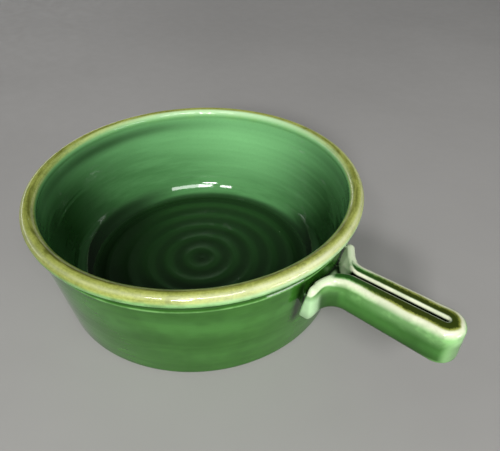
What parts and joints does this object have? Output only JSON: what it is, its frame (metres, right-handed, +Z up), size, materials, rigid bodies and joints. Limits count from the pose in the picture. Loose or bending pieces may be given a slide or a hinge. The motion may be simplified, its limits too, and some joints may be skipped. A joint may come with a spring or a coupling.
{
  "type": "casserole dish",
  "caption": "Round glazed stoneware casserole dish with a rolled rim, tapering wall, ringed floor, foot ring and a short grooved side handle spread into wings at its root.",
  "frame": {"origin": "centre of the base on the bowl's axis, in the plane that the dish stands on", "axes": "+X along the handle, away from the bowl; +Z up along the bowl's axis; +Y completes the right-handed frame"},
  "size_m": [0.2955, 0.2214, 0.0806],
  "materials": {
    "bowl_glaze": "glossy green glaze that breaks to yellow on edges",
    "handle_glaze": "glossy green glaze that breaks to yellow on edges",
    "slip_clay": "bare fired clay"
  },
  "bodies": {
    "root": {"bowl": "bowl_glaze", "handle": "handle_glaze", "luting_slip": "slip_clay"}
  },
  "joints": []
}
